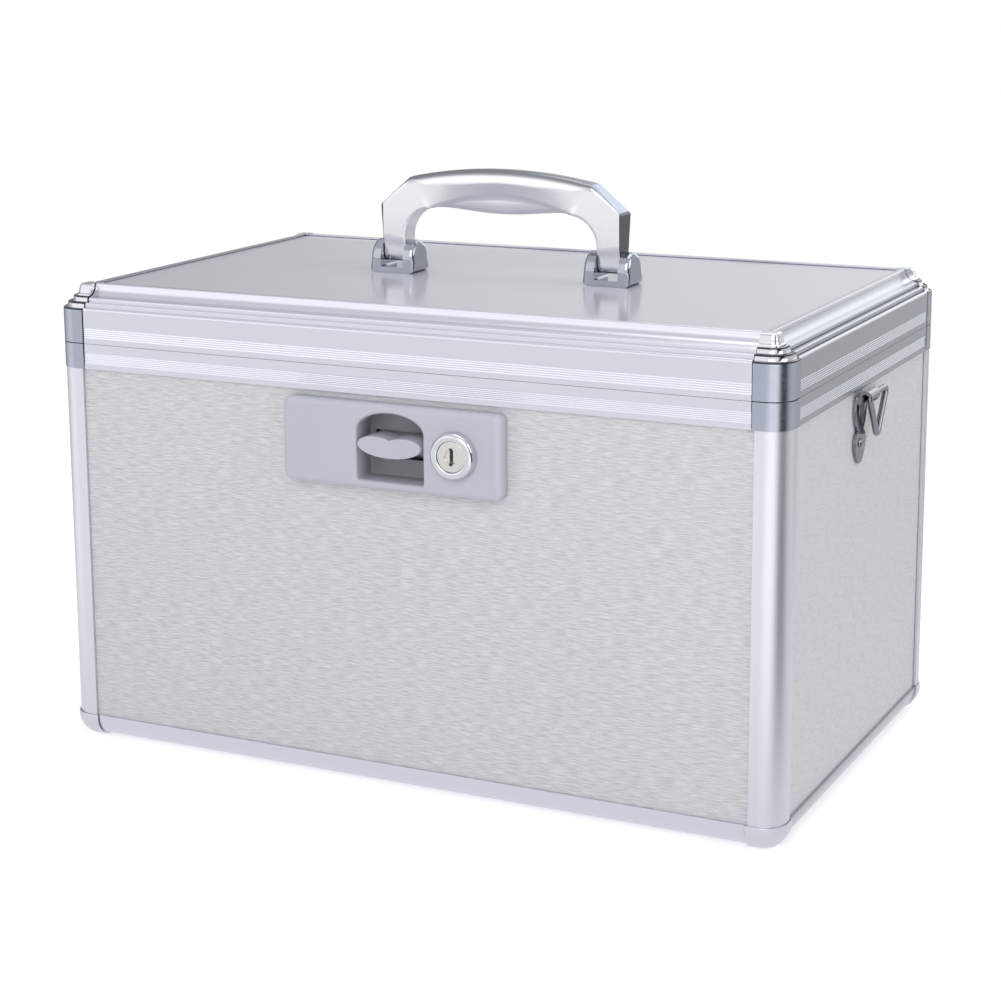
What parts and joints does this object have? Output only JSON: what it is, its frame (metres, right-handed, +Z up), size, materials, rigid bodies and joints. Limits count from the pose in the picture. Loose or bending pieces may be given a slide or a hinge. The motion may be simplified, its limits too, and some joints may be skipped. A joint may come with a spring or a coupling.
{
  "type": "medication lock box",
  "caption": "Upright aluminium-framed medication lock box with a hinged crowned lid, folding carry handle, pressed latch with key lock, side strap rings and a lift-out tray.",
  "frame": {"origin": "under the middle of the whole box at the height of the ball corners' undersides", "axes": "+X to the right as the front is looked at, +Y towards the hinged back, +Z up"},
  "size_m": [0.332, 0.2182, 0.2421],
  "materials": {
    "satin_aluminium": "satin anodised",
    "cast_chrome": "polished",
    "anodised_rail": "bright anodised",
    "laminate": "fine wavy embossed laminate",
    "top_skin": "smooth semi-gloss",
    "latch_plastic": "moulded, soft sheen",
    "plated_steel": "zinc plated",
    "chrome": "mirror",
    "nickel_plug": "brushed nickel",
    "tray_plastic": "moulded"
  },
  "bodies": {
    "case": {"foot_corner_front_left": "satin_aluminium", "foot_corner_front_right": "satin_aluminium", "foot_corner_back_left": "satin_aluminium", "foot_corner_back_right": "satin_aluminium", "corner_post_front_left": "satin_aluminium", "corner_post_front_right": "satin_aluminium", "corner_post_back_left": "satin_aluminium", "corner_post_back_right": "satin_aluminium", "rim_corner_front_left": "cast_chrome", "rim_corner_front_right": "cast_chrome", "rim_corner_back_left": "cast_chrome", "rim_corner_back_right": "cast_chrome", "foot_rail_front": "anodised_rail", "foot_rail_back": "anodised_rail", "foot_rail_left": "anodised_rail", "foot_rail_right": "anodised_rail", "rim_rail_front": "anodised_rail", "rim_rail_back": "anodised_rail", "rim_rail_left": "anodised_rail", "rim_rail_right": "anodised_rail", "wall_board_front": "laminate", "wall_board_back": "laminate", "wall_board_left": "laminate", "wall_board_right": "laminate", "base_board": "laminate", "latch_plate": "latch_plastic", "latch_housing": "plated_steel", "latch_pin": "plated_steel", "latch_spring": "plated_steel", "hinge_body_leaf_left": "plated_steel", "hinge_body_leaf_right": "plated_steel", "hinge_pin_left": "plated_steel", "hinge_pin_right": "plated_steel", "lock_body": "chrome", "strap_anchor_left": "chrome", "strap_anchor_right": "chrome"},
    "lid": {"lid_rail_front": "anodised_rail", "lid_rail_back": "anodised_rail", "lid_rail_left": "anodised_rail", "lid_rail_right": "anodised_rail", "lid_corner_front_left": "cast_chrome", "lid_corner_front_right": "cast_chrome", "lid_corner_back_left": "cast_chrome", "lid_corner_back_right": "cast_chrome", "top_board": "top_skin", "lid_keeper": "plated_steel", "hinge_lid_leaf_left": "plated_steel", "hinge_lid_leaf_right": "plated_steel", "handle_bracket_left": "chrome", "handle_bracket_right": "chrome", "handle_pin_left": "plated_steel", "handle_pin_right": "plated_steel"},
    "handle": {"handle_grip": "chrome"},
    "latch_lever": {"latch_paddle": "latch_plastic", "latch_hook": "plated_steel"},
    "lock_plug": {"lock_plug": "nickel_plug", "lock_cam": "plated_steel"},
    "ring_left": {"strap_ring_left": "chrome"},
    "ring_right": {"strap_ring_right": "chrome"},
    "tray": {"inner_tray": "tray_plastic"}
  },
  "joints": [
    {"name": "lid_hinge", "type": "hinge", "parent": "case", "child": "lid", "pos_m": [0, 0.10111, 0.17305], "axis": [-1, 0, 0], "range_deg": [0, 100]},
    {"name": "handle_fold", "type": "hinge", "parent": "lid", "child": "handle", "pos_m": [0, -0.00079, 0.20455], "axis": [1, 0, 0], "range_deg": [-85, 85]},
    {"name": "latch_press", "type": "hinge", "parent": "case", "child": "latch_lever", "pos_m": [0, -0.08429, 0.1429], "axis": [1, 0, 0], "range_deg": [0, 12], "stiffness_Nm_per_rad": 0.04, "springref_deg": -34.38, "deforming": ["latch_spring"]},
    {"name": "lock_turn", "type": "hinge", "parent": "case", "child": "lock_plug", "pos_m": [0.0288, -0.08429, 0.1429], "axis": [0, 1, 0], "range_deg": [0, 90]},
    {"name": "ring_swing_left", "type": "hinge", "parent": "case", "child": "ring_left", "pos_m": [-0.1633, -0.00879, 0.1599], "axis": [0, 1, 0], "range_deg": [0, 45]},
    {"name": "ring_swing_right", "type": "hinge", "parent": "case", "child": "ring_right", "pos_m": [0.1633, -0.00879, 0.1599], "axis": [0, -1, 0], "range_deg": [0, 45]},
    {"name": "tray_lift", "type": "slide", "parent": "case", "child": "tray", "axis": [0, 0, 1], "range_m": [0, 0.011]}
  ]
}
